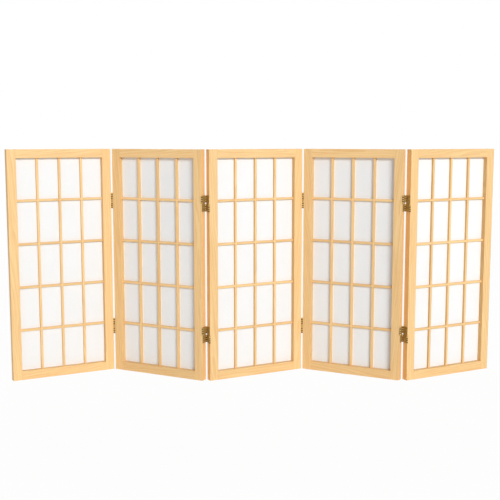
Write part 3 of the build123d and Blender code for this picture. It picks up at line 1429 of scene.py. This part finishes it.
    def dress_fold(self, fold: int, dresser: Dresser) -> None:
        """Sets one fold's links and pins.

        Args:
            fold: The fold, counted from the left, from zero.
            dresser: Sets the pieces.
        """
        brass = dresser.finishes[Slot.BRASS]
        name = f"fold_{fold + 1}{fold + 2}"
        inner_is_left = fold >= self.line.middle
        outer_panel = f"panel_{fold + 2 if inner_is_left else fold + 1}"
        closing = Face.FRONT if self.line.valleys[fold] else Face.BACK
        for half in Half:
            link = f"{name}_{half.name.lower()}_link"
            places = [self.link_place(fold, half, level) for level in self.levels]
            stays = self.stays_left(fold, half) == inner_is_left
            faces = [face for face in Face if not (stays and face is closing)]
            body = f"{name}_reverse_link" if stays else f"{name}_link"
            plate = self.make_link_plate(half, closing if stays else None)
            barrels = {face: [self.barrel_mark(place, half, 0.0, face) for place in places] for face in Face}
            marks = [mark for face in faces for mark in barrels[face]]
            knuckle = self.make_knuckle(self.link_shade, self.link_tongue)
            knuckles = self.rows.build(marks, knuckle, self.link_rows[half], brass)
            collars = {face: self.make_collars(barrels[face], face, brass) for face in Face}
            plates = [placed(plate, place) for place in places]
            mesh = joined([*plates, knuckles, *(collars[face] for face in faces)])
            dresser.stand_in(f"{link}s", mesh, body, Slot.BRASS)
            pins = self.rows.build(marks, self.make_pin(), self.pin_row, brass)
            dresser.stand_in(f"{body}_pins", pins, body, Slot.BRASS)
            if stays:
                knuckle = self.make_knuckle(self.link_shade)
                ends = self.rows.build(barrels[closing], knuckle, self.link_rows[half], brass)
                end_pins = self.rows.build(barrels[closing], self.make_pin(), self.pin_row, brass)
                mesh = joined([ends, end_pins, collars[closing]])
                dresser.stand_in(f"{link}_ends", mesh, outer_panel, Slot.BRASS)


@dataclass
class Studio:
    """Plain white studio: floor, soft lights, white surroundings and the camera."""

    lens: float = 64.4457
    sensor_width: float = 36.0
    camera_place: Triple = (-0.027895, -2.384259, 0.636075)
    camera_pitch: float = 7.0632
    camera_yaw: float = -0.3245
    white: Colour = (1.0, 1.0, 1.0, 1.0)
    floor_colour: Colour = (0.9, 0.9, 0.9, 1.0)
    floor_size: float = 14.0
    floor_white: float = 0.96
    floor_roughness: float = 0.9
    ambient: float = 0.332
    ambient_tint: Colour = (1.0, 0.972, 0.942, 1.0)
    key_azimuth: float = 22.0
    key_elevation: float = 20.0
    key_power: float = 904.0
    back_azimuth: float = 192.0
    back_elevation: float = 34.0
    back_power: float = 440.0
    lamp_aim: Triple = (0.0, 0.0, 0.3)
    lamp_distance: float = 12.0
    lamp_width: float = 5.4
    lamp_height: float = 1.6
    lamp_tint: Triple = (0.97, 0.986, 1.0)

    def seen_share(self, tree: Tree) -> Socket:
        """Finds the rays that see the white surroundings.

        Args:
            tree: The tree of the floor or the world.

        Returns:
            Light Path mask of those rays.
        """
        path = add_node(tree, "ShaderNodeLightPath").outputs
        first = maths(tree, "MAXIMUM", path["Is Camera Ray"], path["Is Glossy Ray"])
        return maths(tree, "MAXIMUM", first, path["Is Transmission Ray"])

    def set_world(self) -> None:
        """Makes the surroundings white to the eye and a soft light on the screen."""
        world = bpy.data.worlds.new("white_studio")
        world.use_nodes = True
        tree = world.node_tree
        tree.nodes.clear()
        soft = output(tree, "ShaderNodeBackground", {"Color": self.ambient_tint, "Strength": self.ambient})
        white = output(tree, "ShaderNodeBackground", {"Color": self.white, "Strength": 1.0})
        mix = output(tree, "ShaderNodeMixShader", {0: self.seen_share(tree), 1: soft, 2: white})
        add_node(tree, "ShaderNodeOutputWorld", {0: mix})
        bpy.context.scene.world = world

    def set_floor(self) -> None:
        """Makes the pale floor, which keeps a faint shadow of the screen."""
        shape = bmesh.new()
        bmesh.ops.create_grid(shape, x_segments=2, y_segments=2, size=self.floor_size / 2)
        mesh = finished(shape, "studio_floor")
        material, tree = new_material("pale_floor")
        inputs = {"Base Color": self.floor_colour, "Roughness": self.floor_roughness}
        matt = output(tree, "ShaderNodeBsdfPrincipled", inputs)
        glow = output(tree, "ShaderNodeEmission", {"Color": self.white, "Strength": 1.0})
        share = maths(tree, "MULTIPLY", self.seen_share(tree), self.floor_white)
        mix = output(tree, "ShaderNodeMixShader", {0: share, 1: matt, 2: glow})
        add_node(tree, "ShaderNodeOutputMaterial", {0: mix})
        mesh.materials.append(material)
        held_object("studio_floor", mesh)

    def hang_light(self, name: str, azimuth: float, elevation: float, power: float) -> None:
        """Hangs a wide soft light that looks at the screen.

        Args:
            name: Name of the light.
            azimuth: Way to it from the screen, in degrees from the front towards the right.
            elevation: Its height above the floor as an angle, in degrees.
            power: Its power in watts.
        """
        lamp = bpy.data.lights.new(name, "AREA")
        lamp.shape = "RECTANGLE"
        lamp.size, lamp.size_y = self.lamp_width, self.lamp_height
        lamp.energy = power
        lamp.color = self.lamp_tint
        obj = bpy.data.objects.new(name, lamp)
        turn, rise = math.radians(azimuth), math.radians(elevation)
        way = Vector((math.sin(turn) * math.cos(rise), -math.cos(turn) * math.cos(rise), math.sin(rise)))
        obj.location = Vector(self.lamp_aim) + way * self.lamp_distance
        obj.rotation_euler = (-way).to_track_quat("-Z", "Y").to_euler()
        bpy.context.scene.collection.objects.link(obj)

    def set_lights(self) -> None:
        """Hangs the key light at the right of the camera and a weaker light behind the screen."""
        self.hang_light("key_light", self.key_azimuth, self.key_elevation, self.key_power)
        self.hang_light("back_light", self.back_azimuth, self.back_elevation, self.back_power)

    def set_camera(self) -> None:
        """Sets the camera where the photograph was taken from."""
        data = bpy.data.cameras.new("photo_camera")
        data.sensor_width = self.sensor_width
        data.lens = self.lens
        camera = bpy.data.objects.new("photo_camera", data)
        camera.location = self.camera_place
        camera.rotation_euler = (math.radians(90 - self.camera_pitch), 0.0, math.radians(self.camera_yaw))
        bpy.context.scene.collection.objects.link(camera)
        bpy.context.scene.camera = camera

    def build(self) -> None:
        """Sets up the whole studio."""
        self.set_world()
        self.set_floor()
        self.set_lights()
        self.set_camera()
        bpy.context.scene.view_settings.view_transform = "Standard"


def clear_scene() -> None:
    """Removes what a new file holds."""
    for obj in list(bpy.data.objects):
        bpy.data.objects.remove(obj)


def main() -> None:
    """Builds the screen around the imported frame, piece by piece."""
    logging.basicConfig(level=logging.INFO, format="%(name)s %(message)s")
    clear_scene()
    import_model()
    dresser = Dresser(make_finishes())
    panel = Panel()
    panel.cut_frame()
    panel.cut_bars()
    line = ScreenLine(panel)
    hinges = TwoWayHinges(line)
    boards = random.Random(BOARD_SEED)
    for number, place in enumerate(line.places, 1):
        panel.dress_frame(number, place, dresser, boards)
        panel.dress_lattice(number, place, dresser)
        panel.dress_paper(number, place, dresser)
        hinges.dress_leaves(number, dresser)
    for fold in range(len(line.valleys)):
        hinges.dress_fold(fold, dresser)
    Studio().build()


if __name__ == "__main__":
    main()
